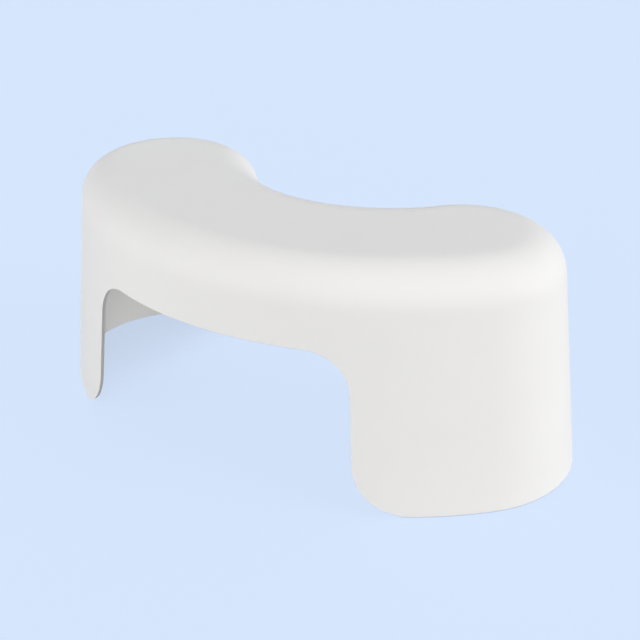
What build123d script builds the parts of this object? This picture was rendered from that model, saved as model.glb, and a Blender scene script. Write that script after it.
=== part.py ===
from build123d import *
import math
import os

# A toilet footstool: one thin moulded shell with a kidney-shaped plan, two hollow legs that
# wrap round its ends, ribs under its flat top, and four rubber feet bonded on to bosses.
#
# Frame, in millimetres: +X along the stool to the user's right, -Y the long curved front,
# +Y the hollowed side that goes round the toilet's foot, +Z up. The origin is on the floor,
# in the middle of the stool's length and depth. The shapes are drawn with Y = 0 through the
# centres of the two round ends, and are moved to the origin once the shell is whole.

# The plan at the leg rims: its length, its depth at the round ends and at the waist between
# the hollowed back and the front, and the ends' radius.
plan_length = 493.0
plan_depth = 257.0
waist = 186.0
end_radius = 95.0

# Upright sizes.
overall_height = 200.0
arch_height = 134.0

# The moulding.
wall = 3.6
draft_deg = 5.4
top_round = 35.0
edge_break = 0.5

# The legs that the archway leaves on both sides, and the rounds at its corners.
leg_top_width = 122.5
leg_foot_width = 112.5
arch_corner_radius = 36.0
leg_corner_radius = 44.0

# The ribs under the top: rings round the front curve's centre, and spokes that point at it.
rib_root_thickness = 2.4
rib_edge_thickness = 1.8
rib_depth = 18.0
ring_pitch = 72.0
spoke_pitch = 66.0

# The rubber feet, and the bosses inside the legs that hold them.
foot_setback = 66.5
foot_radius = 6.2
foot_thickness = 2.6
foot_proud = 1.0
foot_gap = 0.5
boss_wall = 2.4

# How far a cutting body runs past what it cuts.
overrun = 5.0

# Counts and shares, with no unit.
inner_bevel_count = 3
spoke_reach_share = 0.8

# The plan's arcs: the round ends' centres are at (+-lobe_x, 0), the front's and the recess's on
# the Y axis, and their radii are the ones at which each curve runs smoothly into the next.
lobe_x = plan_length / 2 - end_radius
front_reach = plan_depth - end_radius
waist_y = waist - front_reach
front_excess = lobe_x ** 2 + front_reach ** 2 - end_radius ** 2
recess_excess = lobe_x ** 2 + waist_y ** 2 - end_radius ** 2
front_radius = front_excess / (2 * (front_reach - end_radius))
recess_radius = recess_excess / (2 * (end_radius - waist_y))
front_y = front_radius - front_reach
recess_y = recess_radius + waist_y

# Heights, and what the draft does to the walls.
rim_z = foot_proud
crown_z = rim_z + arch_height
ceiling_z = overall_height - wall
draft = math.radians(draft_deg)
lean = math.tan(draft)
wall_across = wall / math.cos(draft)

# Each foot stands just clear of the wall, and its boss reaches a quarter of the wall into it.
foot_inset = wall_across + foot_gap + foot_radius
boss_radius = foot_radius + foot_gap + wall_across / 4
bore_radius = boss_radius - boss_wall


def plan(inset):
    """The stool's plan at its rims, moved inward all round by the inset."""
    front = front_radius - inset
    end = end_radius - inset
    recess = recess_radius + inset
    join_x = lobe_x * front / (front_radius - end_radius)
    join_y = front_y - front_y * front / (front_radius - end_radius)
    turn_x = lobe_x * recess / (end_radius + recess_radius)
    turn_y = recess_y - recess_y * recess / (end_radius + recess_radius)
    front_arc = ThreePointArc((-join_x, join_y), (0, front_y - front), (join_x, join_y))
    right_arc = ThreePointArc((join_x, join_y), (lobe_x + end, 0), (turn_x, turn_y))
    recess_arc = ThreePointArc((turn_x, turn_y), (0, recess_y - recess), (-turn_x, turn_y))
    left_arc = ThreePointArc((-turn_x, turn_y), (-lobe_x - end, 0), (-join_x, join_y))
    return make_face([front_arc, right_arc, recess_arc, left_arc])


def drafted_block(inset, bottom_z, top_z):
    """A solid on the plan that leans in with the draft; its inset is the one at the rims."""
    face = Pos(0, 0, bottom_z) * plan(inset + (bottom_z - rim_z) * lean)
    return extrude(face, amount=top_z - bottom_z, taper=draft_deg)


def rounded_block(inset, bottom_z, top_z):
    """A drafted block with the stool's big round along its top edge, less its inset."""
    block = drafted_block(inset, bottom_z, top_z)
    top_edges = block.faces().sort_by(Axis.Z)[-1].edges()
    return fillet(top_edges, top_round - inset)


def cavity_block():
    """The hollow inside the shell. Its top edge is bevelled in steps, to follow the round."""
    radius = top_round - wall
    centre_z = ceiling_z - radius
    centre_inset = wall_across + (centre_z - rim_z) * lean + radius / math.cos(draft)
    step = (math.pi / 2 - draft) / inner_bevel_count
    start_z = centre_z + radius * math.sin(draft)
    hollow = drafted_block(wall_across, rim_z - overrun, start_z)
    for number in range(inner_bevel_count):
        low = draft + number * step
        high = low + step
        low_z = centre_z + radius * math.sin(low)
        high_z = centre_z + radius * math.sin(high)
        face = Pos(0, 0, low_z) * plan(centre_inset - radius * math.cos(low))
        taper = math.degrees((low + high) / 2)
        hollow += extrude(face, amount=high_z - low_z, taper=taper)
    return hollow


def archway():
    """The body that opens the front and the back, with the legs' lower corners rounded."""
    half_top = plan_length / 2 - leg_top_width
    half_foot = plan_length / 2 - leg_foot_width
    reach = half_foot + leg_corner_radius + overrun
    right_corners = [(reach, rim_z), (half_foot, rim_z), (half_top, crown_z)]
    left_corners = [(-x, z) for x, z in reversed(right_corners)]
    radii = [leg_corner_radius, arch_corner_radius, arch_corner_radius, leg_corner_radius]
    arch = FilletPolyline(*right_corners, *left_corners, radius=radii)
    low_z = rim_z - overrun
    under = Polyline((-reach, rim_z), (-reach, low_z), (reach, low_z), (reach, rim_z))
    profile = make_face(Plane.XZ * (arch + under))
    return extrude(profile, amount=plan_depth, both=True)


def open_shell():
    """The thin shell: the block with its archways cut, its cut edges broken, then hollowed."""
    block = rounded_block(0, rim_z, overall_height) - archway()
    flat_or_round = (GeomType.PLANE, GeomType.CYLINDER)
    cuts = block.faces().filter_by(lambda face: face.geom_type in flat_or_round)
    low_cuts = cuts.filter_by(lambda face: face.center().Z < ceiling_z)
    long_edges = low_cuts.edges().filter_by(GeomType.LINE, reverse=True)
    return chamfer(long_edges, edge_break) - cavity_block()


def rib_section():
    """A rib's section in the XZ plane about X = 0, thickest where it meets the ceiling."""
    half_root = rib_root_thickness / 2
    half_edge = rib_edge_thickness / 2
    edge_z = ceiling_z - rib_depth
    root_z = overall_height - wall / 2
    corners = [(half_edge, edge_z), (half_root, ceiling_z), (half_root, root_z)]
    mirrored = [(-x, z) for x, z in reversed(corners)]
    return make_face(Plane.XZ * Polyline(*corners, *mirrored, close=True))


def ring_ribs():
    """The ribs that follow the front curve, evenly set across the stool's middle."""
    count = max(1, int((waist - 2 * (wall_across + overall_height * lean)) / ring_pitch))
    first = (waist - (count - 1) * ring_pitch) / 2
    axis = Axis((0, front_y, 0), (0, 0, 1))
    rings = []
    for number in range(count):
        radius = front_radius - first - number * ring_pitch
        rings.append(revolve(Pos(radius, front_y, 0) * rib_section(), axis=axis))
    return rings


def spoke_ribs():
    """The ribs that point at the front curve's centre, as far round as the lobes reach."""
    lobe_distance = math.hypot(lobe_x, front_y)
    lobe_angle = math.atan2(lobe_x, front_y)
    lobe_spread = math.asin(min(1, end_radius * spoke_reach_share / lobe_distance))
    pitch = spoke_pitch / lobe_distance
    count = int((lobe_angle + lobe_spread) / pitch)
    spokes = []
    for number in range(-count, count + 1):
        spoke = extrude(rib_section(), amount=front_radius)
        turn = Rot(0, 0, math.degrees(number * pitch))
        spokes.append(Pos(0, front_y, 0) * turn * spoke)
    return spokes


def foot_places():
    """Each foot's name and centre: near both ends of a leg's rim, just inside its wall."""
    foot_x = plan_length / 2 - foot_setback
    front_foot_y = front_y - math.sqrt((front_radius - foot_inset) ** 2 - foot_x ** 2)
    rear_foot_y = math.sqrt((end_radius - foot_inset) ** 2 - (foot_x - lobe_x) ** 2)
    return {
        "front_left_foot": (-foot_x, front_foot_y),
        "front_right_foot": (foot_x, front_foot_y),
        "rear_left_foot": (-foot_x, rear_foot_y),
        "rear_right_foot": (foot_x, rear_foot_y),
    }


def bosses():
    """Hollow bosses that end on the feet; the leaning walls swallow them further up."""
    standing = (Align.CENTER, Align.CENTER, Align.MIN)
    core = drafted_block(wall / 2, rim_z - overrun, ceiling_z)
    height = overall_height - top_round - foot_thickness
    tube = Cylinder(boss_radius, height, align=standing)
    tube -= Cylinder(bore_radius, height, align=standing)
    return [Pos(x, y, foot_thickness) * tube & core for x, y in foot_places().values()]


def shell():
    """The stool's one moulding: shell, ribs and bosses."""
    core = rounded_block(wall / 2, rim_z - overrun, overall_height - wall / 2)
    ribs = Part() + ring_ribs() + spoke_ribs()
    return open_shell() + (ribs & core) + bosses()


def foot(x, y):
    """One rubber foot: a disc under its boss that stands proud of the leg's rim."""
    standing = (Align.CENTER, Align.CENTER, Align.MIN)
    return Pos(x, y, 0) * Cylinder(foot_radius, foot_thickness, align=standing)


os.makedirs("parts", exist_ok=True)
moulding = shell()
to_origin = Pos(0, -moulding.bounding_box().center().Y, 0)
export_step(to_origin * moulding, "parts/shell.step")
for name, (x, y) in foot_places().items():
    export_step(to_origin * foot(x, y), f"parts/{name}.step")
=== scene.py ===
import logging
import math
from collections.abc import Callable
from dataclasses import dataclass, replace
from enum import Enum

import bpy
from bpy.types import Material, MeshEdge, MeshPolygon, Node, NodeTree, Object
from mathutils import Matrix, Vector


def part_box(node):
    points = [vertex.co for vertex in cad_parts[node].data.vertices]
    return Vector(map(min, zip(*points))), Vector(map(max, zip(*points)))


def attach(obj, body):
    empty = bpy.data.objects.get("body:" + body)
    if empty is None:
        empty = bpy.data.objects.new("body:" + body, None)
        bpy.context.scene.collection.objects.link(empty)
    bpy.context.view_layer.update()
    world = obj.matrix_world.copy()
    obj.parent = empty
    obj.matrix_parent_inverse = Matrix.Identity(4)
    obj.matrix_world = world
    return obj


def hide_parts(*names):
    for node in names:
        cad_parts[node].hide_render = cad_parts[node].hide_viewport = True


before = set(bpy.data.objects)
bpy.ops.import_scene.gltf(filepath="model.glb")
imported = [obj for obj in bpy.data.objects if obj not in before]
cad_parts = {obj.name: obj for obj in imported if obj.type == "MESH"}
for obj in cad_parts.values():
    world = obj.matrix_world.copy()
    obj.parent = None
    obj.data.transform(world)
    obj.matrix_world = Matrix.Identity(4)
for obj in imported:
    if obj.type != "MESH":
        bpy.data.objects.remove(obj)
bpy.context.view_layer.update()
ROOT_BODY = "root"
FOOT_NODES = ("front_left_foot", "front_right_foot", "rear_left_foot", "rear_right_foot")
LOG = logging.getLogger("footstool")

# Places nearer than the first distance are one; mirrored halves are welded within the second.
SAME_PLACE = 1e-6
WELD_GAP = 1e-5
# A face is level when its normal points up or down by more than this share.
LEVEL_NORMAL = 0.9
# How often a search halves its range.
HALVINGS = 48

Point = tuple[float, float]
Colour = tuple[float, float, float]
Link = tuple[Node, str | int, Node, str | int]


class Element(Enum):
    """The kinds of mesh element that are chosen in edit mode."""

    EDGE = "EDGE"
    FACE = "FACE"


def select_only(piece: Object) -> None:
    """Makes a piece the only selected one, and the active one.

    Args:
        piece: The object to select.
    """
    bpy.ops.object.select_all(action="DESELECT")
    piece.select_set(True)
    bpy.context.view_layer.objects.active = piece


def open_edit(piece: Object, whole: bool = False) -> None:
    """Opens a piece in edit mode, with all of its mesh selected or none of it.

    Args:
        piece: The mesh object to edit.
        whole: Whether its mesh is selected.
    """
    select_only(piece)
    bpy.ops.object.mode_set(mode="EDIT")
    bpy.ops.mesh.select_all(action="SELECT" if whole else "DESELECT")


def active_piece() -> Object:
    """Gives the piece that was added or joined last."""
    return bpy.context.view_layer.objects.active


def close_edit() -> None:
    """Leaves edit mode."""
    bpy.ops.object.mode_set(mode="OBJECT")


def open_chosen(
    piece: Object, kind: Element, wanted: Callable[[MeshEdge | MeshPolygon], bool]
) -> None:
    """Opens a piece in edit mode with only some of its edges or faces selected.

    Args:
        piece: The mesh object to edit.
        kind: Whether edges or faces are chosen.
        wanted: Says of an edge or a face whether it is selected.
    """
    open_edit(piece)
    bpy.ops.mesh.select_mode(type=kind.value)
    close_edit()
    for element in piece.data.edges if kind is Element.EDGE else piece.data.polygons:
        element.select = wanted(element)
    bpy.ops.object.mode_set(mode="EDIT")


def select_rims() -> None:
    """Selects the open rims of the mesh that is open for editing."""
    bpy.ops.mesh.select_mode(type="EDGE")
    bpy.ops.mesh.select_non_manifold(extend=False)


def face_outward() -> None:
    """Selects all of the mesh that is open for editing, and turns its faces outward."""
    bpy.ops.mesh.select_all(action="SELECT")
    bpy.ops.mesh.normals_make_consistent(inside=False)


def apply_modifier(piece: Object, kind: str, **settings: object) -> None:
    """Adds a modifier to a piece, sets it and applies it.

    Args:
        piece: The mesh object that the modifier changes.
        kind: The modifier's type.
        settings: The modifier's values, by name.
    """
    select_only(piece)
    modifier = piece.modifiers.new(kind.lower(), kind)
    for name, value in settings.items():
        setattr(modifier, name, value)
    bpy.ops.object.modifier_apply(modifier=modifier.name)


def apply_place() -> None:
    """Moves the active piece's place into its mesh."""
    bpy.ops.object.transform_apply(location=True, rotation=True, scale=True)


def join_pieces(pieces: list[Object], name: str) -> Object:
    """Joins pieces into one mesh and merges the vertices that they share.

    Args:
        pieces: The mesh objects to join.
        name: The joined piece's name.

    Returns:
        The joined piece.
    """
    bpy.ops.object.select_all(action="DESELECT")
    for piece in pieces:
        piece.select_set(True)
    bpy.context.view_layer.objects.active = pieces[0]
    bpy.ops.object.join()
    joined = active_piece()
    joined.name = name
    joined.data.name = name
    open_edit(joined, whole=True)
    bpy.ops.mesh.remove_doubles(threshold=SAME_PLACE)
    close_edit()
    return joined


def drawn_face(places: list[Vector]) -> Object:
    """Draws a closed outline as one flat face.

    Args:
        places: The outline's corners, in order.

    Returns:
        The piece, with its one face.
    """
    bpy.ops.object.select_all(action="DESELECT")
    bpy.ops.mesh.primitive_circle_add(vertices=len(places), fill_type="NGON")
    piece = active_piece()
    for vertex, place in zip(piece.data.vertices, places):
        vertex.co = place
    return piece


def combine(piece: Object, other: Object, operation: str, crossing: bool = False) -> None:
    """Joins another solid to a piece, or trims the piece by it, and removes the other.

    Args:
        piece: The piece that is changed.
        other: The other solid.
        operation: The Boolean's operation.
        crossing: Whether the piece's own parts run through one another.
    """
    apply_modifier(
        piece, "BOOLEAN", object=other, operation=operation, solver="EXACT", use_self=crossing
    )
    bpy.data.objects.remove(other)


def add_node(
    tree: NodeTree, kind: str, inputs: dict[str | int, object] | None = None, **settings: object
) -> Node:
    """Adds a shader node.

    Args:
        tree: The nodes that it joins.
        kind: The node's type.
        inputs: The values on its own sockets, by name or number.
        settings: Its other values, by name.

    Returns:
        The node.
    """
    node = tree.nodes.new(f"ShaderNode{kind}")
    for name, value in settings.items():
        setattr(node, name, value)
    for socket, value in (inputs or {}).items():
        node.inputs[socket].default_value = value
    return node


def link(tree: NodeTree, *links: Link) -> None:
    """Links nodes.

    Args:
        tree: The nodes.
        links: Each link, as its output's node and name, and its input's node and name.
    """
    for source, output, target, entry in links:
        tree.links.new(source.outputs[output], target.inputs[entry])


def put_finish_on(piece: Object, material: Material, smooth_angle: float) -> None:
    """Smooths a piece where its faces meet at a low angle, and puts a material on it.

    Args:
        piece: The mesh object to dress.
        material: The material.
        smooth_angle: The degrees up to which faces run smoothly into one another.
    """
    select_only(piece)
    bpy.ops.object.shade_smooth_by_angle(angle=math.radians(smooth_angle))
    piece.data.materials.clear()
    piece.data.materials.append(material)


def even_steps(start: float, end: float, count: int) -> list[float]:
    """Divides a stretch evenly.

    Args:
        start: Where it starts.
        end: Where it ends.
        count: The number of steps.

    Returns:
        The places between the steps, with both ends.
    """
    return [start + (end - start) * step / count for step in range(count + 1)]


@dataclass(frozen=True)
class Arc:
    """One arc of the plan. Its radius is below zero where the centre lies outside the stool.

    A turn is the angle of the outward normal, from straight ahead of the front, to the right.
    """

    centre: Point
    radius: float
    start_turn: float
    length: float

    def point(self, travel: float, inset: float) -> Point:
        """Gives a place on the arc.

        Args:
            travel: The distance from the arc's start, along the plan.
            inset: How far in from the plan the place lies.

        Returns:
            The place's x and y.
        """
        turn = self.start_turn + travel / self.radius
        reach = self.radius - inset
        return (
            self.centre[0] + math.sin(turn) * reach,
            self.centre[1] - math.cos(turn) * reach,
        )


@dataclass(frozen=True)
class KidneyPlan:
    """The stool's plan at its leg rims, as arcs that run smoothly into one another.

    The right half is travelled from the middle of the front, round the end, to the middle
    of the hollowed back.
    """

    length: float
    depth: float
    waist: float
    end_radius: float
    end_y: float = 0.0

    @property
    def end_x(self) -> float:
        """The right end's centre, along the stool."""
        return self.length / 2 - self.end_radius

    @property
    def front_radius(self) -> float:
        """The radius at which the front runs smoothly into the ends."""
        reach = self.depth - self.end_radius
        excess = self.end_x**2 + reach**2 - self.end_radius**2
        return excess / (2 * (reach - self.end_radius))

    @property
    def front_y(self) -> float:
        """The front arc's centre, behind the ends' centres."""
        return self.front_radius - (self.depth - self.end_radius)

    @property
    def recess_radius(self) -> float:
        """The radius at which the hollowed back runs smoothly into the ends."""
        waist_y = self.waist - (self.depth - self.end_radius)
        excess = self.end_x**2 + waist_y**2 - self.end_radius**2
        return excess / (2 * (self.end_radius - waist_y))

    @property
    def recess_y(self) -> float:
        """The recess's centre, behind the ends' centres."""
        return self.recess_radius + self.waist - (self.depth - self.end_radius)

    def arcs(self) -> list[Arc]:
        """Gives the right half's three arcs.

        Returns:
            The arcs, in the order of travel.
        """
        front_turn = math.asin(self.end_x / (self.front_radius - self.end_radius))
        back_turn = math.pi + math.asin(self.end_x / (self.recess_radius + self.end_radius))
        front_centre = (0.0, self.end_y + self.front_y)
        recess_centre = (0.0, self.end_y + self.recess_y)
        end_length = self.end_radius * (back_turn - front_turn)
        recess_length = self.recess_radius * (back_turn - math.pi)
        return [
            Arc(front_centre, self.front_radius, 0.0, self.front_radius * front_turn),
            Arc((self.end_x, self.end_y), self.end_radius, front_turn, end_length),
            Arc(recess_centre, -self.recess_radius, back_turn, recess_length),
        ]

    def half_length(self) -> float:
        """Gives the length of the right half."""
        return sum(arc.length for arc in self.arcs())

    def point(self, travel: float, inset: float) -> Point:
        """Gives a place on the right half.

        Args:
            travel: The distance from the middle of the front, along the plan.
            inset: How far in from the plan the place lies.

        Returns:
            The place's x and y.
        """
        arcs = self.arcs()
        for arc in arcs[:-1]:
            if travel <= arc.length:
                return arc.point(travel, inset)
            travel -= arc.length
        return arcs[-1].point(min(travel, arcs[-1].length), inset)

    def travel_at(self, x: float, inset: float, at_back: bool) -> float:
        """Finds where the right half reaches a given x.

        Args:
            x: The distance from the stool's middle.
            inset: How far in from the plan the place lies.
            at_back: Whether the place is on the back rather than on the front.

        Returns:
            The travel to that place.
        """
        front, end, _ = self.arcs()
        widest = front.length + self.end_radius * (math.pi / 2 - end.start_turn)
        low, high = (widest, self.half_length()) if at_back else (0.0, widest)
        for _ in range(HALVINGS):
            middle = (low + high) / 2
            beyond = self.point(middle, inset)[0] > x
            if beyond == at_back:
                low = middle
            else:
                high = middle
        return (low + high) / 2


@dataclass(frozen=True)
class WallSection:
    """The wall's upright section: it leans in with the draft, then rounds over into the top."""

    rim_z: float
    top_z: float
    wall: float
    draft: float
    top_round: float

    @property
    def round_z(self) -> float:
        """The height of the round's centre."""
        return self.top_z - self.top_round

    @property
    def round_inset(self) -> float:
        """How far in the round's centre lies."""
        lean = math.tan(self.draft)
        return (self.round_z - self.rim_z) * lean + self.top_round / math.cos(self.draft)

    def wall_inset(self, z: float, depth: float) -> float:
        """Gives how far in the leaning wall lies.

        Args:
            z: The height.
            depth: How deep below the outer skin, from zero to the wall's thickness.

        Returns:
            The inset from the plan.
        """
        return (z - self.rim_z) * math.tan(self.draft) + depth / math.cos(self.draft)

    def round_place(self, share: float, depth: float) -> Point:
        """Gives a place on the round between the wall and the top.

        Args:
            share: From zero, where the wall ends, to one, where the top starts.
            depth: How deep below the outer skin, from zero to the wall's thickness.

        Returns:
            The place's inset and height.
        """
        angle = self.draft + (math.pi / 2 - self.draft) * share
        radius = self.top_round - depth
        return (
            self.round_inset - radius * math.cos(angle),
            self.round_z + radius * math.sin(angle),
        )


@dataclass(frozen=True)
class ArchEdge:
    """The right-hand edge of the archway, as the stool is seen from the front."""

    foot_x: float
    top_x: float
    rim_z: float
    crown_z: float
    leg_radius: float
    corner_radius: float
    corner_steps: int = 14
    side_steps: int = 14

    @property
    def slope(self) -> float:
        """The angle by which the archway's side leans towards the middle."""
        return math.atan2(self.foot_x - self.top_x, self.crown_z - self.rim_z)

    def moved_in(self, distance: float) -> "ArchEdge":
        """Gives the line that runs beside this edge, further in on the leg.

        Args:
            distance: How far from the edge the line runs.

        Returns:
            The line, with as many steps as the edge.
        """
        aside = distance / math.cos(self.slope) - distance * math.tan(self.slope)
        return replace(
            self,
            foot_x=self.foot_x + aside,
            top_x=self.top_x + aside,
            rim_z=self.rim_z + distance,
            crown_z=self.crown_z + distance,
            leg_radius=self.leg_radius - distance,
            corner_radius=self.corner_radius + distance,
        )

    def places(self) -> list[Point]:
        """Gives the edge's x and z.

        Returns:
            The places, from the leg's rim up to the archway's crown.
        """
        setback = (1 - math.sin(self.slope)) / math.cos(self.slope)
        leg_x = self.foot_x + self.leg_radius * setback
        leg_z = self.rim_z + self.leg_radius
        corner_x = self.top_x - self.corner_radius * setback
        corner_z = self.crown_z - self.corner_radius
        sweep = math.pi / 2 - self.slope
        low = []
        high = []
        for angle in even_steps(0.0, sweep, self.corner_steps):
            low.append((
                leg_x - self.leg_radius * math.sin(angle),
                leg_z - self.leg_radius * math.cos(angle),
            ))
            high.append((
                corner_x + self.corner_radius * math.cos(self.slope + angle),
                corner_z + self.corner_radius * math.sin(self.slope + angle),
            ))
        side = (even_steps(*ends, self.side_steps)[1:-1] for ends in zip(low[-1], high[0]))
        return low + list(zip(*side)) + high


@dataclass(frozen=True)
class RibSection:
    """A rib's section: drafted, with a soft free edge and a small round at its root."""

    root: float
    edge: float
    depth: float
    root_round: float = 0.0007
    edge_round: float = 0.0004
    round_steps: int = 3

    def outline(self, ceiling_z: float, root_z: float) -> list[Point]:
        """Gives the section's corners.

        Args:
            ceiling_z: The height of the ceiling that the rib hangs from.
            root_z: How high the rib's root reaches into the top.

        Returns:
            Each corner's distance from the rib's middle, and its height.
        """
        low_z = ceiling_z - self.depth
        angles = even_steps(0.0, math.pi / 2, self.round_steps)
        side = []
        for angle in angles:
            side.append((
                self.edge / 2 - self.edge_round * (1 - math.sin(angle)),
                low_z + self.edge_round * (1 - math.cos(angle)),
            ))
        for angle in angles:
            side.append((
                self.root / 2 + self.root_round * (1 - math.cos(angle)),
                ceiling_z - self.root_round * (1 - math.sin(angle)),
            ))
        side.append((self.root / 2 + self.root_round, root_z))
        return side + [(-across, z) for across, z in reversed(side)]


@dataclass(frozen=True)
class RibFan:
    """The ribs under the top: one ring, and spokes that point at the front curve's centre."""

    section: RibSection
    centre: Point
    ring_radius: float
    ring_turn: float
    spoke_start: float
    spoke_end: float
    spoke_turn: float
    spokes_each_side: int
    ring_steps: int = 96

    def place(self, turn: float, radius: float, across: float, z: float) -> Vector:
        """Gives a place from the front curve's centre.

        Args:
            turn: The angle from straight ahead, to the right.
            radius: The distance from the centre.
            across: The distance to the right of that line.
            z: The height.

        Returns:
            The place.
        """
        ahead = (math.sin(turn), -math.cos(turn))
        return Vector((
            self.centre[0] + ahead[0] * radius - ahead[1] * across,
            self.centre[1] + ahead[1] * radius + ahead[0] * across,
            z,
        ))

    def ring(self, outline: list[Point]) -> Object:
        """Spins the section round the front curve's centre.

        Args:
            outline: The rib's section.

        Returns:
            The ring's solid.
        """
        places = [
            self.place(-self.ring_turn, self.ring_radius + across, 0.0, z)
            for across, z in outline
        ]
        piece = drawn_face(places)
        open_edit(piece, whole=True)
        bpy.ops.mesh.spin(
            steps=self.ring_steps,
            angle=2 * self.ring_turn,
            center=(*self.centre, 0.0),
            axis=(0.0, 0.0, 1.0),
        )
        close_edit()
        return piece

    def spoke(self, outline: list[Point], turn: float) -> Object:
        """Extrudes the section along one spoke.

        Args:
            outline: The rib's section.
            turn: The spoke's angle from straight ahead, to the right.

        Returns:
            The spoke's solid.
        """
        places = [self.place(turn, self.spoke_start, across, z) for across, z in outline]
        piece = drawn_face(places)
        run = self.place(turn, self.spoke_end, 0.0, 0.0) - self.place(
            turn, self.spoke_start, 0.0, 0.0
        )
        open_edit(piece, whole=True)
        bpy.ops.mesh.extrude_region_move(TRANSFORM_OT_translate={"value": run})
        close_edit()
        return piece

    def build(self, ceiling_z: float, root_z: float) -> Object:
        """Builds all the ribs, as they are before the walls trim them.

        Args:
            ceiling_z: The height of the ceiling that they hang from.
            root_z: How high their roots reach into the top.

        Returns:
            The ribs' mesh.
        """
        outline = self.section.outline(ceiling_z, root_z)
        ribs = [self.ring(outline)]
        for number in range(-self.spokes_each_side, self.spokes_each_side + 1):
            ribs.append(self.spoke(outline, number * self.spoke_turn))
        piece = join_pieces(ribs, "ribs")
        open_edit(piece)
        face_outward()
        close_edit()
        return piece


@dataclass(frozen=True)
class BossSet:
    """The hollow bosses inside the legs that hold the feet."""

    radius: float
    wall: float
    low_z: float
    high_z: float
    places: tuple[Point, ...]
    sides: int = 48

    def build(self) -> Object:
        """Builds all the bosses, as they are before the walls trim them.

        Returns:
            The bosses' mesh.
        """
        bpy.ops.object.select_all(action="DESELECT")
        height = self.high_z - self.low_z
        bpy.ops.mesh.primitive_cylinder_add(
            vertices=self.sides,
            radius=self.radius,
            depth=height,
            location=(0.0, 0.0, self.low_z + height / 2),
        )
        first = active_piece()
        apply_place()
        open_chosen(first, Element.FACE, lambda face: abs(face.normal.z) > LEVEL_NORMAL)
        bpy.ops.mesh.inset(thickness=self.wall)
        bpy.ops.mesh.delete(type="FACE")
        select_rims()
        bpy.ops.mesh.bridge_edge_loops()
        face_outward()
        close_edit()
        tubes = []
        for x, y in self.places:
            select_only(first)
            bpy.ops.object.duplicate(linked=False)
            tube = active_piece()
            tube.location = (x, y, 0.0)
            apply_place()
            tubes.append(tube)
        bpy.data.objects.remove(first)
        return join_pieces(tubes, "bosses")


class Skin(Enum):
    """The shell's two skins."""

    OUTER = "outer"
    INNER = "inner"


@dataclass(frozen=True)
class SurfaceEffect:
    """A pattern that more than one material uses, kept as one shader node group."""

    name: str
    inputs: tuple[tuple[str, float], ...]
    outputs: tuple[str, ...]

    def build(self) -> NodeTree:
        """Builds the group, or gives the one that is there already.

        Returns:
            The group.
        """
        if self.name in bpy.data.node_groups:
            return bpy.data.node_groups[self.name]
        group = bpy.data.node_groups.new(self.name, "ShaderNodeTree")
        for name, value in self.inputs:
            socket = group.interface.new_socket(
                name, in_out="INPUT", socket_type="NodeSocketFloat"
            )
            socket.default_value = value
        for name in self.outputs:
            group.interface.new_socket(name, in_out="OUTPUT", socket_type="NodeSocketFloat")
        self.fill(group, group.nodes.new("NodeGroupInput"), group.nodes.new("NodeGroupOutput"))
        return group

    def fill(self, group: NodeTree, entry: Node, leave: Node) -> None:
        """Adds the pattern's own nodes.

        Args:
            group: The empty group.
            entry: The group's input node.
            leave: The group's output node.
        """
        raise NotImplementedError


@dataclass(frozen=True)
class MouldGrain(SurfaceEffect):
    """The fine grain of a spark-eroded mould, with slow ripples of flow under it."""

    name: str = "mould_grain"
    inputs: tuple[tuple[str, float], ...] = (("Grain Scale", 1400.0), ("Flow Scale", 18.0))
    outputs: tuple[str, ...] = ("Height", "Flow", "Speckle")
    grain_detail: float = 3.0
    grain_roughness: float = 0.6
    flow_detail: float = 4.0
    flow_distortion: float = 0.6
    pit_share: float = 0.5

    def fill(self, group: NodeTree, entry: Node, leave: Node) -> None:
        """Makes the grain's height, the flow mask and a fine speckle mask.

        Args:
            group: The empty group.
            entry: The group's input node.
            leave: The group's output node.
        """
        place = add_node(group, "TexCoord")
        grain = add_node(
            group, "TexNoise", {"Detail": self.grain_detail, "Roughness": self.grain_roughness}
        )
        flow = add_node(
            group, "TexNoise", {"Detail": self.flow_detail, "Distortion": self.flow_distortion}
        )
        pits = add_node(group, "TexVoronoi", feature="SMOOTH_F1")
        blend = add_node(group, "Math", {1: self.pit_share}, operation="MULTIPLY_ADD")
        link(
            group,
            (place, "Object", grain, "Vector"),
            (place, "Object", flow, "Vector"),
            (place, "Object", pits, "Vector"),
            (entry, "Grain Scale", grain, "Scale"),
            (entry, "Grain Scale", pits, "Scale"),
            (entry, "Flow Scale", flow, "Scale"),
            (pits, "Distance", blend, 0),
            (grain, "Fac", blend, 2),
            (blend, "Value", leave, "Height"),
            (flow, "Fac", leave, "Flow"),
            (grain, "Fac", leave, "Speckle"),
        )


@dataclass(frozen=True)
class EdgePolish(SurfaceEffect):
    """A mask of the edges that hands and floors rub smooth."""

    name: str = "edge_polish"
    inputs: tuple[tuple[str, float], ...] = (("Sharpness", 6.0), ("Patch Scale", 90.0))
    outputs: tuple[str, ...] = ("Mask",)
    patch_detail: float = 5.0
    flat_pointiness: float = 0.52

    def fill(self, group: NodeTree, entry: Node, leave: Node) -> None:
        """Makes the mask of rubbed edges, broken into patches.

        Args:
            group: The empty group.
            entry: The group's input node.
            leave: The group's output node.
        """
        geometry = add_node(group, "NewGeometry")
        place = add_node(group, "TexCoord")
        patches = add_node(group, "TexNoise", {"Detail": self.patch_detail})
        above = add_node(group, "Math", {1: self.flat_pointiness}, operation="SUBTRACT")
        gain = add_node(group, "Math", operation="MULTIPLY")
        broken = add_node(group, "Math", operation="MULTIPLY", use_clamp=True)
        link(
            group,
            (place, "Object", patches, "Vector"),
            (entry, "Patch Scale", patches, "Scale"),
            (geometry, "Pointiness", above, 0),
            (above, "Value", gain, 0),
            (entry, "Sharpness", gain, 1),
            (gain, "Value", broken, 0),
            (patches, "Fac", broken, 1),
            (broken, "Value", leave, "Mask"),
        )


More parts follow.
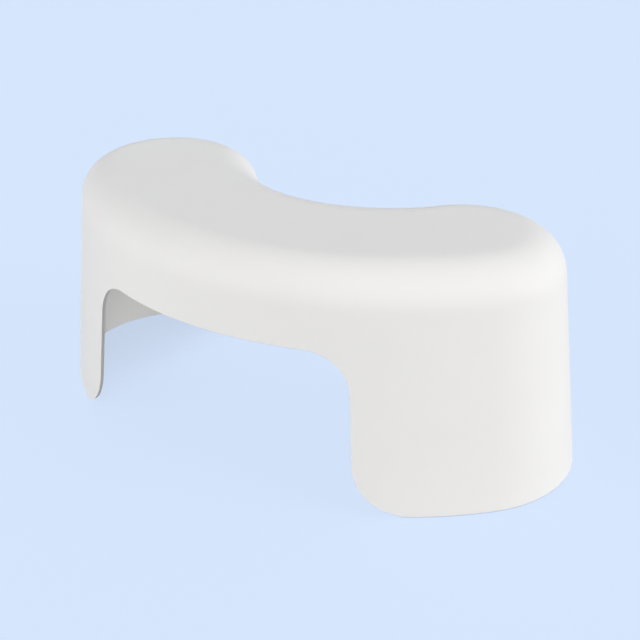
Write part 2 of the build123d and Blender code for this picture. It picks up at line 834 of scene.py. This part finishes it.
@dataclass(frozen=True)
class MouldedFinish:
    """The finish of a moulded piece: its colour, gloss, grain and rubbed edges."""

    name: str
    colour: Colour
    shade: Colour
    low_roughness: float
    high_roughness: float
    gloss: float
    grain_scale: float
    grain_depth: float
    flow_scale: float
    polish: float
    speckle_range: tuple[float, float] = (0.3, 0.7)

    def build(self) -> Material:
        """Builds the material.

        Returns:
            The material, ready to be put on a piece.
        """
        material = bpy.data.materials.new(self.name)
        material.use_nodes = True
        tree = material.node_tree
        surface = tree.nodes["Principled BSDF"]
        surface.inputs["Specular IOR Level"].default_value = self.gloss
        grain = add_node(
            tree,
            "Group",
            {"Grain Scale": self.grain_scale, "Flow Scale": self.flow_scale},
            node_tree=MouldGrain().build(),
        )
        edges = add_node(tree, "Group", node_tree=EdgePolish().build())
        self.add_colour(tree, grain, surface)
        self.add_gloss(tree, grain, edges, surface)
        bump = add_node(tree, "Bump", {"Distance": self.grain_depth, "Strength": 1.0})
        link(tree, (grain, "Height", bump, "Height"), (bump, "Normal", surface, "Normal"))
        return material

    def add_colour(self, tree: NodeTree, grain: Node, surface: Node) -> None:
        """Lets the colour wander a little with the flow of the melt.

        Args:
            tree: The material's nodes.
            grain: The grain group's node.
            surface: The material's shader.
        """
        tint = add_node(
            tree, "Mix", {"A": (*self.shade, 1.0), "B": (*self.colour, 1.0)}, data_type="RGBA"
        )
        link(
            tree,
            (grain, "Flow", tint, "Factor"),
            (tint, "Result", surface, "Base Color"),
        )

    def add_gloss(self, tree: NodeTree, grain: Node, edges: Node, surface: Node) -> None:
        """Sets the roughness, from the speckle of the grain and the rubbed edges.

        Args:
            tree: The material's nodes.
            grain: The grain group's node.
            edges: The edge group's node.
            surface: The material's shader.
        """
        spread = add_node(
            tree,
            "MapRange",
            {
                "From Min": self.speckle_range[0],
                "From Max": self.speckle_range[1],
                "To Min": self.low_roughness,
                "To Max": self.high_roughness,
            },
        )
        rubbed = add_node(
            tree, "Math", {1: -self.polish}, operation="MULTIPLY_ADD", use_clamp=True
        )
        link(
            tree,
            (grain, "Speckle", spread, "Value"),
            (edges, "Mask", rubbed, 0),
            (spread, "Result", rubbed, 2),
            (rubbed, "Value", surface, "Roughness"),
        )


SHELL_FINISH = MouldedFinish(
    name="satin_white_plastic",
    colour=(0.884, 0.877, 0.867),
    shade=(0.854, 0.847, 0.838),
    low_roughness=0.52,
    high_roughness=0.64,
    gloss=0.18,
    grain_scale=1400.0,
    grain_depth=0.000012,
    flow_scale=18.0,
    polish=0.12,
)
FOOT_FINISH = MouldedFinish(
    name="grey_rubber",
    colour=(0.40, 0.41, 0.42),
    shade=(0.34, 0.35, 0.36),
    low_roughness=0.68,
    high_roughness=0.85,
    gloss=0.3,
    grain_scale=2600.0,
    grain_depth=0.00002,
    flow_scale=60.0,
    polish=0.1,
)


@dataclass
class MouldedShell:
    """The stool's one moulding: two skins that meet at the rims, with ribs and bosses inside."""

    plan: KidneyPlan
    section: WallSection
    arch: ArchEdge
    ribs: RibFan
    bosses: BossSet
    leg_columns: int = 96
    front_columns: int = 28
    back_columns: int = 36
    band_rows: int = 8
    round_rows: int = 16
    core_columns: int = 160
    edge_band: float = 0.0014
    rim_break: float = 0.0004
    rim_segments: int = 3
    rim_angle: float = 50.0
    smooth_angle: float = 38.0
    normal_weight: int = 50
    lip: float = 0.004
    name: str = "moulded_shell"

    def leg_ends(self, x: float, z: float, depth: float) -> Point:
        """Gives the travels at which a leg's wall starts and ends at the archways.

        Args:
            x: The archway's half width at this height.
            z: The height.
            depth: How deep below the outer skin.

        Returns:
            The travels at the front and at the back archway.
        """
        inset = self.section.wall_inset(z, depth)
        return (
            self.plan.travel_at(x, inset, at_back=False),
            self.plan.travel_at(x, inset, at_back=True),
        )

    def grid(self, columns: int, rows: int, place: Callable[[int, int], Vector]) -> Object:
        """Adds a flat grid and lays each of its corners on the skin.

        Args:
            columns: The number of cells along the stool's edge.
            rows: The number of cells upwards.
            place: Gives the place of a column and a row.

        Returns:
            The shaped grid.
        """
        bpy.ops.mesh.primitive_grid_add(x_subdivisions=columns, y_subdivisions=rows, size=1.0)
        piece = active_piece()
        for vertex in piece.data.vertices:
            column = round((vertex.co.x + 0.5) * columns)
            row = round((vertex.co.y + 0.5) * rows)
            vertex.co = place(column, row)
        return piece

    def leg_grid(self, depth: float) -> Object:
        """Lays a grid on the right leg's wall, up to the line beside the archways' edges.

        Args:
            depth: How deep below the outer skin it lies.

        Returns:
            The shaped grid.
        """
        line = self.arch.moved_in(self.edge_band).places()
        rows = [even_steps(*self.leg_ends(x, z, depth), self.leg_columns) for x, z in line]

        def place(column: int, row: int) -> Vector:
            """Gives the place of a column and a row."""
            return self.on_wall(rows[row][column], line[row][1], depth)

        return self.grid(self.leg_columns, len(line) - 1, place)

    def on_wall(self, travel: float, z: float, depth: float) -> Vector:
        """Gives a place on the leaning wall.

        Args:
            travel: The distance along the plan from the middle of the front.
            z: The height.
            depth: How deep below the outer skin it lies.

        Returns:
            The place.
        """
        x, y = self.plan.point(travel, self.section.wall_inset(z, depth))
        return Vector((x, y, z))

    def edge_path(self, edge: ArchEdge, depth: float) -> list[Vector]:
        """Follows an archway's edge or the line beside it, over the whole right half.

        Args:
            edge: The edge or the line.
            depth: How deep below the outer skin it lies.

        Returns:
            The places from the middle of the front, down and round the leg, to the back.
        """
        line = edge.places()
        ends = [self.leg_ends(x, z, depth) for x, z in line]
        starts, stops = zip(*ends)
        heights = [z for _, z in line]
        travels = self.band_travels(*ends[-1])
        path = [(travel, heights[-1]) for travel in travels[: self.front_columns]]
        path += reversed(list(zip(starts, heights)))
        path += [(travel, heights[0]) for travel in even_steps(*ends[0], self.leg_columns)[1:-1]]
        path += zip(stops, heights)
        path += [(travel, heights[-1]) for travel in travels[-self.back_columns :]]
        return [self.on_wall(travel, z, depth) for travel, z in path]

    def edge_strip(self, depth: float) -> Object:
        """Lays the strip of faces between the archways' edges and the line beside them.

        Args:
            depth: How deep below the outer skin it lies.

        Returns:
            The shaped strip.
        """
        paths = [
            self.edge_path(self.arch, depth),
            self.edge_path(self.arch.moved_in(self.edge_band), depth),
        ]
        return self.grid(len(paths[0]) - 1, 1, lambda column, row: paths[row][column])

    def band_grid(
        self, depth: float, travels: list[float], low_z: float, wall_rows: int
    ) -> Object:
        """Lays a grid on the wall and on the round above it, over the right half.

        Args:
            depth: How deep below the outer skin it lies.
            travels: Where its columns are, along the plan.
            low_z: The height at which it starts.
            wall_rows: The number of cells on the wall, below the round.

        Returns:
            The shaped grid.
        """
        round_start_z = self.section.round_place(0.0, depth)[1]
        rows = []
        for z in even_steps(low_z, round_start_z, wall_rows)[:-1]:
            rows.append((self.section.wall_inset(z, depth), z))
        for share in even_steps(0.0, 1.0, self.round_rows):
            rows.append(self.section.round_place(share, depth))

        def place(column: int, row: int) -> Vector:
            """Gives the place of a column and a row."""
            inset, z = rows[row]
            x, y = self.plan.point(travels[column], inset)
            return Vector((x, y, z))

        return self.grid(len(travels) - 1, len(rows) - 1, place)

    def band_travels(self, start: float, end: float) -> list[float]:
        """Gives the columns of the band above the archways, in line with the leg's own.

        Args:
            start: Where the leg's grid starts, along the plan.
            end: Where it ends.

        Returns:
            The columns' travels, from the middle of the front to the middle of the back.
        """
        front = even_steps(0.0, start, self.front_columns)
        leg = even_steps(start, end, self.leg_columns)
        back = even_steps(end, self.plan.half_length(), self.back_columns)
        return front[:-1] + leg[:-1] + back

    def mirror_half(self, piece: Object) -> None:
        """Mirrors a right half and welds the two halves in the middle.

        Args:
            piece: The right half.
        """
        for vertex in piece.data.vertices:
            if abs(vertex.co.x) < SAME_PLACE:
                vertex.co.x = 0.0
        apply_modifier(piece, "MIRROR", use_mirror_merge=True, merge_threshold=WELD_GAP)

    def skin(self, skin: Skin) -> Object:
        """Makes one whole skin of the shell.

        Args:
            skin: Which skin to make.

        Returns:
            The skin, open at the rims and the archways.
        """
        depth = 0.0 if skin is Skin.OUTER else self.section.wall
        corner_x, low_z = self.arch.moved_in(self.edge_band).places()[-1]
        travels = self.band_travels(*self.leg_ends(corner_x, low_z, depth))
        band = self.band_grid(depth, travels, low_z, self.band_rows)
        grids = [self.leg_grid(depth), band, self.edge_strip(depth)]
        piece = join_pieces(grids, f"skin_{skin.value}")
        self.mirror_half(piece)
        self.close_top(piece, self.section.top_z - depth)
        return piece

    def close_top(self, piece: Object, top_z: float) -> None:
        """Fills the flat inside a skin's round, with a narrow lip of faces along its edge.

        Args:
            piece: The skin.
            top_z: The height of its flat.
        """

        def at_top(edge: MeshEdge) -> bool:
            """Says whether an edge lies round the flat."""
            ends = [piece.data.vertices[index].co.z for index in edge.vertices]
            return min(ends) > top_z - SAME_PLACE

        open_chosen(piece, Element.EDGE, at_top)
        bpy.ops.mesh.edge_face_add()
        bpy.ops.mesh.select_mode(type="FACE")
        bpy.ops.mesh.inset(thickness=self.lip, use_even_offset=True)
        close_edit()

    def core(self) -> Object:
        """Makes the solid inside the middle of the wall, which trims the ribs and the bosses.

        Returns:
            The solid.
        """
        depth = self.section.wall / 2
        travels = even_steps(0.0, self.plan.half_length(), self.core_columns)
        low_z = self.section.rim_z - self.section.wall
        core = self.band_grid(depth, travels, low_z, 1)
        self.mirror_half(core)
        self.close_top(core, self.section.top_z - depth)
        open_edit(core)
        select_rims()
        bpy.ops.mesh.edge_face_add()
        face_outward()
        close_edit()
        return core

    def open_shell(self) -> Object:
        """Makes the thin shell: both skins, bridged along the rims, with their edges broken.

        Returns:
            The shell's mesh, without ribs or bosses.
        """
        shell = join_pieces([self.skin(skin) for skin in Skin], self.name)
        open_edit(shell)
        select_rims()
        bpy.ops.mesh.bridge_edge_loops()
        face_outward()
        bpy.ops.mesh.select_all(action="DESELECT")
        bpy.ops.mesh.edges_select_sharp(sharpness=math.radians(self.rim_angle))
        bpy.ops.mesh.bevel(offset=self.rim_break, segments=self.rim_segments, clamp_overlap=False)
        close_edit()
        return shell

    def build(self) -> Object:
        """Builds the whole moulding.

        Returns:
            The moulding's mesh.
        """
        ceiling_z = self.section.top_z - self.section.wall
        root_z = self.section.top_z - self.section.wall / 2
        inside = self.ribs.build(ceiling_z, root_z)
        inside = join_pieces([inside, self.bosses.build()], "inside")
        combine(inside, self.core(), "INTERSECT", crossing=True)
        shell = self.open_shell()
        combine(shell, inside, "UNION")
        return shell

    def dress(self, piece: Object, finish: MouldedFinish) -> None:
        """Puts the moulding's finish on, and shades its rounds evenly."""
        put_finish_on(piece, finish.build(), self.smooth_angle)
        apply_modifier(piece, "WEIGHTED_NORMAL", weight=self.normal_weight, keep_sharp=True)


@dataclass
class RubberFoot:
    """One rubber foot: a disc with rounded edges and a shallow ring moulded in its sole."""

    node: str
    sides: int = 64
    edge_round: float = 0.0004
    edge_segments: int = 3
    edge_angle: float = 50.0
    smooth_angle: float = 40.0
    ring_inset: float = 0.0016
    ring_width: float = 0.0009
    ring_depth: float = 0.0004

    def build(self) -> Object:
        """Builds the foot where its CAD node is.

        Returns:
            The foot's mesh.
        """
        low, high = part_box(self.node)
        bpy.ops.object.select_all(action="DESELECT")
        bpy.ops.mesh.primitive_cylinder_add(
            vertices=self.sides,
            radius=(high.x - low.x) / 2,
            depth=high.z - low.z,
            location=(low + high) / 2,
        )
        piece = active_piece()
        piece.name = f"{self.node}_rubber"
        piece.data.name = piece.name
        apply_place()
        open_chosen(piece, Element.FACE, lambda face: face.normal.z < -LEVEL_NORMAL)
        bpy.ops.mesh.inset(thickness=self.ring_inset)
        bpy.ops.mesh.inset(thickness=self.ring_width)
        close_edit()
        self.sink_ring(piece)
        apply_modifier(
            piece,
            "BEVEL",
            width=self.edge_round,
            segments=self.edge_segments,
            limit_method="ANGLE",
            angle_limit=math.radians(self.edge_angle),
        )
        return piece

    def sink_ring(self, piece: Object) -> None:
        """Presses the ring into the foot's sole.

        Args:
            piece: The foot's mesh, with the ring's edges drawn in its sole.
        """
        places = [vertex.co for vertex in piece.data.vertices]
        sole_z = min(place.z for place in places)
        middle = sum(places, Vector()) / len(places)
        outer = max((place - middle).xy.length for place in places) - self.ring_inset
        inner = outer - self.ring_width

        def in_ring(face: MeshPolygon) -> bool:
            """Says whether a face is between the ring's two edges."""
            radius = (face.center - middle).xy.length
            return face.center.z < sole_z + SAME_PLACE and inner < radius < outer

        open_chosen(piece, Element.FACE, in_ring)
        bpy.ops.mesh.extrude_region_move(
            TRANSFORM_OT_translate={"value": (0.0, 0.0, self.ring_depth)}
        )
        close_edit()

    def dress(self, piece: Object, material: Material) -> None:
        """Puts the rubber on the foot and smooths its rounds."""
        put_finish_on(piece, material, self.smooth_angle)


def direction(azimuth: float, elevation: float) -> Vector:
    """Gives the way towards a camera or lamp.

    Args:
        azimuth: Degrees round from the stool's front, to the right.
        elevation: Degrees above the floor.

    Returns:
        The unit vector.
    """
    turn = math.radians(azimuth)
    rise = math.radians(elevation)
    return Vector((
        math.sin(turn) * math.cos(rise),
        -math.cos(turn) * math.cos(rise),
        math.sin(rise),
    ))


@dataclass(frozen=True)
class SoftSun:
    """A far, wide lamp. Its azimuth is the side that it shines from, as the camera's is.

    A strength of one lights a white face that looks straight at it to white.
    """

    name: str
    azimuth: float
    elevation: float
    strength: float
    width: float

    def build(self) -> None:
        """Adds the lamp."""
        lamp = bpy.data.lights.new(self.name, "SUN")
        lamp.energy = self.strength * math.pi
        lamp.angle = math.radians(self.width)
        holder = bpy.data.objects.new(self.name, lamp)
        bpy.context.scene.collection.objects.link(holder)
        back = direction(self.azimuth, self.elevation)
        holder.rotation_euler = back.to_track_quat("Z", "Y").to_euler()


@dataclass(frozen=True)
class PhotoCamera:
    """The camera that stands where the photograph was taken from."""

    azimuth: float = 35.7
    elevation: float = 26.38
    distance: float = 1.1596
    view_angle: float = 26.22
    roll: float = -0.74
    target: tuple[float, float, float] = (0.02616, 0.0070, 0.09487)
    sensor_width: float = 36.0
    clip_range: tuple[float, float] = (0.01, 50.0)

    def build(self) -> None:
        """Adds the camera and makes it the scene's own."""
        lens = bpy.data.cameras.new("photo_camera")
        lens.sensor_width = self.sensor_width
        lens.lens = self.sensor_width / 2 / math.tan(math.radians(self.view_angle) / 2)
        lens.clip_start, lens.clip_end = self.clip_range
        holder = bpy.data.objects.new("photo_camera", lens)
        bpy.context.scene.collection.objects.link(holder)
        back = direction(self.azimuth, self.elevation)
        turn = math.radians(self.azimuth)
        right = Vector((math.cos(turn), math.sin(turn), 0.0))
        up = back.cross(right)
        roll = math.radians(self.roll)
        rolled_right = right * math.cos(roll) + up * math.sin(roll)
        rolled_up = up * math.cos(roll) - right * math.sin(roll)
        axes = Matrix((rolled_right, rolled_up, back)).transposed().to_4x4()
        place = Vector(self.target) + back * self.distance
        holder.matrix_world = Matrix.Translation(place) @ axes
        bpy.context.scene.camera = holder


@dataclass(frozen=True)
class Studio:
    """A plain pale floor and soft light."""

    floor_colour: Colour = (0.672, 0.791, 0.982)
    bounce_colour: Colour = (0.5, 0.5, 0.5)
    sky_colour: Colour = (1.0, 1.0, 1.0)
    sky_strength: float = 0.20
    floor_level: float = 0.782
    shadow_share: float = 0.087
    # Reach, range and depth of the painted contact shade: ambient occlusion dims the floor's glow
    # near the stool.
    contact_reach: float = 0.2
    contact_range: tuple[float, float] = (0.23, 0.44)
    painted_shade_depth: float = 0.165
    floor_size: float = 16.0
    suns: tuple[SoftSun, ...] = (
        SoftSun("right_key", 110.0, 40.0, 0.178, 50.0),
        SoftSun("right_low", 105.0, 18.0, 0.462, 40.0),
        SoftSun("left_key", -40.0, 12.0, 0.649, 50.0),
        SoftSun("front_fill", 40.0, 12.0, 0.252, 30.0),
        SoftSun("overhead", 0.0, 85.0, 0.060, 60.0),
        SoftSun("back_fill", 180.0, 30.0, 0.140, 60.0),
    )

    def build(self) -> None:
        """Adds the floor, the lamps and the sky."""
        bpy.context.scene.view_settings.view_transform = "Standard"
        for sun in self.suns:
            sun.build()
        self.build_sky()
        self.build_floor()

    def split_rays(self, tree: NodeTree, plain: Node, seen: Node, end: Node) -> None:
        """Shows one shader to rays that see the pale background, and another to the rest.

        Args:
            tree: The nodes of the floor or the world.
            plain: The shader that lights the object.
            seen: The shader that is seen straight, mirrored or through glass.
            end: The output node.
        """
        rays = add_node(tree, "LightPath")
        total = (rays, "Is Camera Ray")
        for kind in ("Is Glossy Ray", "Is Transmission Ray"):
            either = add_node(tree, "Math", operation="MAXIMUM")
            link(tree, (*total, either, 0), (rays, kind, either, 1))
            total = (either, "Value")
        choose = add_node(tree, "MixShader")
        link(
            tree,
            (*total, choose, "Fac"),
            (plain, 0, choose, 1),
            (seen, 0, choose, 2),
            (choose, "Shader", end, "Surface"),
        )

    def build_sky(self) -> None:
        """Makes the world: plain light, and the floor's colour where it is seen."""
        world = bpy.data.worlds.new("plain_sky")
        bpy.context.scene.world = world
        world.use_nodes = True
        tree = world.node_tree
        glow = tree.nodes["Background"]
        glow.inputs["Color"].default_value = (*self.sky_colour, 1.0)
        glow.inputs["Strength"].default_value = self.sky_strength
        seen = add_node(tree, "Background", {"Color": (*self.floor_colour, 1.0)})
        self.split_rays(tree, glow, seen, tree.nodes["World Output"])

    def build_floor(self) -> None:
        """Adds the floor: its own pale colour where it is seen, and plain bounced light."""
        bpy.ops.mesh.primitive_plane_add(size=self.floor_size)
        floor = active_piece()
        floor.name = "floor"
        material = bpy.data.materials.new("pale_floor")
        material.use_nodes = True
        tree = material.node_tree
        tree.nodes.remove(tree.nodes["Principled BSDF"])
        bounce = add_node(tree, "BsdfDiffuse", {"Color": (*self.bounce_colour, 1.0)})
        self.split_rays(tree, bounce, self.shown_floor(tree), tree.nodes["Material Output"])
        floor.data.materials.append(material)

    def shown_floor(self, tree: NodeTree) -> Node:
        """Makes the floor's seen colour: a glow of its own colour with painted contact shade from
        ambient occlusion, deepest at the rims, over a faint share of real shadow.

        Args:
            tree: The floor's nodes.

        Returns:
            The shader.
        """
        lit_colour = (
            value * self.shadow_share / self.floor_level for value in self.floor_colour
        )
        lit = add_node(tree, "BsdfDiffuse", {"Color": (*lit_colour, 1.0)})
        # Painted contact shade: ambient occlusion turns down the floor's glow near the stool's
        # rims.
        near = add_node(tree, "AmbientOcclusion", {"Distance": self.contact_reach})
        depth = add_node(
            tree,
            "MapRange",
            {
                "From Min": self.contact_range[0],
                "From Max": self.contact_range[1],
                "To Min": 1.0 - self.shadow_share - self.painted_shade_depth,
                "To Max": 1.0 - self.shadow_share,
            },
        )
        glow = add_node(tree, "Emission", {"Color": (*self.floor_colour, 1.0)})
        shown = add_node(tree, "AddShader")
        link(
            tree,
            (near, "AO", depth, "Value"),
            (depth, "Result", glow, "Strength"),
            (lit, "BSDF", shown, 0),
            (glow, "Emission", shown, 1),
        )
        return shown


@dataclass(frozen=True)
class StoolSizes:
    """The stool's sizes in metres, degrees and counts, as its CAD model has them."""

    length: float = 0.493
    depth: float = 0.257
    waist: float = 0.186
    end_radius: float = 0.095
    wall: float = 0.0036
    draft: float = 5.4
    top_round: float = 0.035
    edge_break: float = 0.0005
    arch_height: float = 0.134
    leg_foot_width: float = 0.1125
    leg_top_width: float = 0.1225
    leg_radius: float = 0.044
    corner_radius: float = 0.036
    rib: RibSection = RibSection(root=0.0024, edge=0.0018, depth=0.018)
    ring_turn: float = 80.0
    spoke_pitch: float = 0.066
    spokes_each_side: int = 3
    boss_radius: float = 0.0076
    boss_wall: float = 0.0024

    def shell(self) -> MouldedShell:
        """Works out the shell's shape, placed where the frame has it.

        Returns:
            The shell, ready to be built.
        """
        low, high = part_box("shell")
        draft = math.radians(self.draft)
        section = WallSection(low.z, high.z, self.wall, draft, self.top_round)
        crown_z = section.rim_z + self.arch_height
        plan = KidneyPlan(self.length, self.depth, self.waist, self.end_radius)
        front_inset = section.wall_inset(crown_z + self.edge_break, 0.0)
        plan = replace(plan, end_y=low.y - plan.point(0.0, front_inset)[1])
        arch = ArchEdge(
            foot_x=plan.length / 2 - self.leg_foot_width,
            top_x=plan.length / 2 - self.leg_top_width,
            rim_z=section.rim_z,
            crown_z=crown_z,
            leg_radius=self.leg_radius,
            corner_radius=self.corner_radius,
        )
        ribs = RibFan(
            section=self.rib,
            centre=(0.0, plan.end_y + plan.front_y),
            ring_radius=plan.front_radius - plan.waist / 2,
            ring_turn=math.radians(self.ring_turn),
            # The walls trim the spokes, which start a third of the way out.
            spoke_start=plan.front_radius / 3,
            spoke_end=plan.front_radius,
            spoke_turn=self.spoke_pitch / math.hypot(plan.end_x, plan.front_y),
            spokes_each_side=self.spokes_each_side,
        )
        feet = [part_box(node) for node in FOOT_NODES]
        bosses = BossSet(
            radius=self.boss_radius,
            wall=self.boss_wall,
            low_z=feet[0][1].z,
            high_z=section.round_z,
            places=tuple(((low.x + high.x) / 2, (low.y + high.y) / 2) for low, high in feet),
        )
        return MouldedShell(plan, section, arch, ribs, bosses)


def main() -> None:
    """Builds the stool round its frame, then the studio and the camera."""
    logging.basicConfig(level=logging.INFO, format="%(name)s: %(message)s")
    shell = StoolSizes().shell()
    moulding = shell.build()
    shell.dress(moulding, SHELL_FINISH)
    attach(moulding, ROOT_BODY)
    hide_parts("shell")
    LOG.info("%s: %d faces", moulding.name, len(moulding.data.polygons))
    rubber = FOOT_FINISH.build()
    for node in FOOT_NODES:
        foot = RubberFoot(node)
        piece = foot.build()
        foot.dress(piece, rubber)
        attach(piece, ROOT_BODY)
        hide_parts(node)
        LOG.info("%s: %d faces", piece.name, len(piece.data.polygons))
    Studio().build()
    PhotoCamera().build()


if __name__ == "__main__":
    main()
